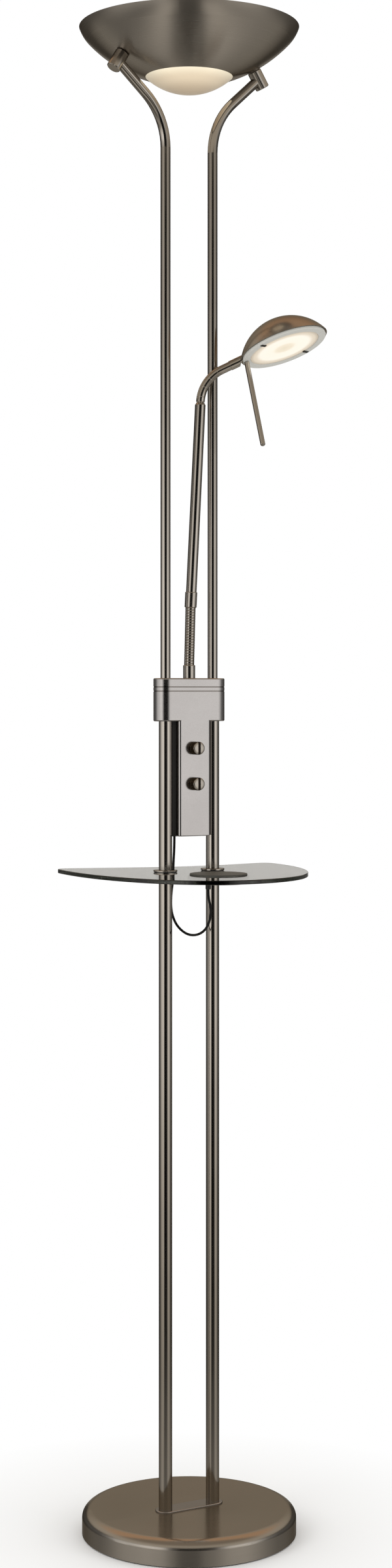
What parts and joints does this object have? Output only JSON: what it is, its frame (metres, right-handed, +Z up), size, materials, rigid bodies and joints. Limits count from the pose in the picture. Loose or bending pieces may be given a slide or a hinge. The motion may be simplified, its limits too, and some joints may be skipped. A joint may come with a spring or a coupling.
{
  "type": "torchiere floor lamp with reading light",
  "caption": "Satin nickel torchiere floor lamp: uplight bowl on slim poles, reading light on a bending arm, dimmer knobs, smoked glass tray with charging pad, round weighted foot.",
  "frame": {"origin": "centre of the round foot on the floor", "axes": "+Z up along the poles; +X from the left pole to the right pole as seen from the knobs; -Y the side the dimmer knobs face"},
  "size_m": [0.2947, 0.2919, 1.8],
  "materials": {
    "satin_nickel": "satin, finely brushed",
    "satin_aluminium": "satin, finely spun",
    "plain_aluminium": "plain",
    "zinc_steel": "zinc plated",
    "black_steel": "black oxide, satin",
    "cast_iron": "rough cast",
    "foam_pad": "matt",
    "soft_washer": "matt",
    "black_plastic": "fine matt grain",
    "charger_plastic": "matt",
    "smoked_glass": "clear smoked, polished",
    "frosted_glass": "frosted",
    "diffuser_plastic": "opal",
    "ring_plastic": "translucent, satin",
    "circuit_board": "solder mask",
    "coil_copper": "wound copper",
    "black_rubber": "satin"
  },
  "bodies": {
    "frame": {"base_cover": "satin_nickel", "foot_plate": "satin_nickel", "lower_pole_left": "satin_nickel", "lower_pole_right": "satin_nickel", "upper_pole_left": "satin_nickel", "upper_pole_right": "satin_nickel", "bowl_shade": "satin_nickel", "bowl_barrel_left": "satin_nickel", "bowl_barrel_right": "satin_nickel", "bracket_cover": "satin_nickel", "neck_ferrule": "satin_nickel", "tray_flanges": "satin_nickel", "tray_collars": "satin_nickel", "uplight_plate": "plain_aluminium", "pole_plugs": "zinc_steel", "pole_bolts": "zinc_steel", "barrel_screws": "zinc_steel", "grub_screws": "zinc_steel", "housing_screws": "black_steel", "base_weight": "cast_iron", "base_pad": "foam_pad", "tray_washers": "soft_washer", "rear_housing": "black_plastic", "cord_inlet_bush": "black_plastic", "column_cord_bush": "black_plastic", "dimmer_units": "black_plastic", "charger_body": "charger_plastic", "charger_top": "charger_plastic", "glass_tray": "smoked_glass", "frosted_dish": "frosted_glass", "uplight_diffuser": "diffuser_plastic", "uplight_board": "circuit_board", "control_board": "circuit_board", "charger_coil": "coil_copper", "charger_cord": "black_rubber", "cable_grommet": "black_rubber", "charger_plug": "black_rubber"},
    "lower_link_1": {"lower_neck_1": "satin_nickel"},
    "lower_link_2": {"lower_neck_2": "satin_nickel"},
    "lower_link_3": {"lower_neck_3": "satin_nickel"},
    "lower_link_4": {"lower_neck_4": "satin_nickel"},
    "lower_link_5": {"lower_neck_5": "satin_nickel"},
    "lower_link_6": {"lower_neck_6": "satin_nickel"},
    "arm": {"arm_collar": "satin_nickel", "arm_tube": "satin_nickel"},
    "upper_link_1": {"upper_neck_1": "satin_nickel"},
    "upper_link_2": {"upper_neck_2": "satin_nickel"},
    "upper_link_3": {"upper_neck_3": "satin_nickel"},
    "upper_link_4": {"upper_neck_4": "satin_nickel"},
    "upper_link_5": {"upper_neck_5": "satin_nickel"},
    "head": {"head_stem": "satin_nickel", "head_shade": "satin_aluminium", "head_heat_sink": "plain_aluminium", "head_board": "circuit_board", "head_diffuser": "diffuser_plastic", "head_ring": "ring_plastic", "head_clips": "black_steel", "handle_rod": "satin_nickel"},
    "knob_upper": {"dimmer_knob_upper": "satin_nickel"},
    "knob_lower": {"dimmer_knob_lower": "satin_nickel"}
  },
  "joints": [
    {"name": "lower_bend_1", "type": "hinge", "parent": "frame", "child": "lower_link_1", "pos_m": [0.00002, -0.00001, 1.03825], "axis": [0.5, 0.866, 0], "range_deg": [-0.25, 12]},
    {"name": "lower_bend_2", "type": "hinge", "parent": "lower_link_1", "child": "lower_link_2", "pos_m": [0.00025, -0.00014, 1.04946], "axis": [0.8658, -0.4999, -0.024], "range_deg": [-0.1, 12]},
    {"name": "lower_bend_3", "type": "hinge", "parent": "lower_link_2", "child": "lower_link_3", "pos_m": [0.00048, -0.00028, 1.06068], "axis": [0.5, 0.866, 0], "range_deg": [-0.25, 12]},
    {"name": "lower_bend_4", "type": "hinge", "parent": "lower_link_3", "child": "lower_link_4", "pos_m": [0.00071, -0.00041, 1.07189], "axis": [0.8658, -0.4999, -0.024], "range_deg": [-0.1, 12]},
    {"name": "lower_bend_5", "type": "hinge", "parent": "lower_link_4", "child": "lower_link_5", "pos_m": [0.00095, -0.00055, 1.0831], "axis": [0.5, 0.866, 0], "range_deg": [-0.25, 12]},
    {"name": "lower_bend_6", "type": "hinge", "parent": "lower_link_5", "child": "lower_link_6", "pos_m": [0.00118, -0.00068, 1.09432], "axis": [0.8658, -0.4999, -0.024], "range_deg": [-0.1, 12]},
    {"name": "lower_bend_7", "type": "hinge", "parent": "lower_link_6", "child": "arm", "pos_m": [0.00141, -0.00082, 1.10553], "axis": [0.5, 0.866, 0], "range_deg": [-0.25, 12]},
    {"name": "upper_bend_1", "type": "hinge", "parent": "arm", "child": "upper_link_1", "pos_m": [0.01168, -0.00674, 1.35225], "axis": [0.5, 0.866, 0], "range_deg": [-6, 12]},
    {"name": "upper_bend_2", "type": "hinge", "parent": "upper_link_1", "child": "upper_link_2", "pos_m": [0.01358, -0.00784, 1.36413], "axis": [0.8228, -0.475, -0.3121], "range_deg": [-1, 12]},
    {"name": "upper_bend_3", "type": "hinge", "parent": "upper_link_2", "child": "upper_link_3", "pos_m": [0.01815, -0.01048, 1.37501], "axis": [0.5, 0.866, 0], "range_deg": [-6, 12]},
    {"name": "upper_bend_4", "type": "hinge", "parent": "upper_link_3", "child": "upper_link_4", "pos_m": [0.02507, -0.01447, 1.38408], "axis": [0.5675, -0.3276, -0.7554], "range_deg": [-1, 12]},
    {"name": "upper_bend_5", "type": "hinge", "parent": "upper_link_4", "child": "upper_link_5", "pos_m": [0.03383, -0.01953, 1.3907], "axis": [0.5, 0.866, 0], "range_deg": [-6, 12]},
    {"name": "head_swivel", "type": "hinge", "parent": "upper_link_5", "child": "head", "pos_m": [0.04258, -0.02458, 1.39552], "axis": [0.7817, -0.4513, 0.4305], "range_deg": [-60, 60]},
    {"name": "upper_knob_turn", "type": "hinge", "parent": "frame", "child": "knob_upper", "pos_m": [0, -0.0148, 0.9384], "axis": [0, -1, 0], "range_deg": [0, 290]},
    {"name": "lower_knob_turn", "type": "hinge", "parent": "frame", "child": "knob_lower", "pos_m": [0, -0.0148, 0.8959], "axis": [0, -1, 0], "range_deg": [0, 290]}
  ],
  "couplings": [
    {"joint": "lower_bend_3", "follows": "lower_bend_1", "ratio": 1},
    {"joint": "lower_bend_4", "follows": "lower_bend_2", "ratio": 1},
    {"joint": "lower_bend_5", "follows": "lower_bend_1", "ratio": 1},
    {"joint": "lower_bend_6", "follows": "lower_bend_2", "ratio": 1},
    {"joint": "lower_bend_7", "follows": "lower_bend_1", "ratio": 1},
    {"joint": "upper_bend_3", "follows": "upper_bend_1", "ratio": 1},
    {"joint": "upper_bend_4", "follows": "upper_bend_2", "ratio": 1},
    {"joint": "upper_bend_5", "follows": "upper_bend_1", "ratio": 1}
  ]
}
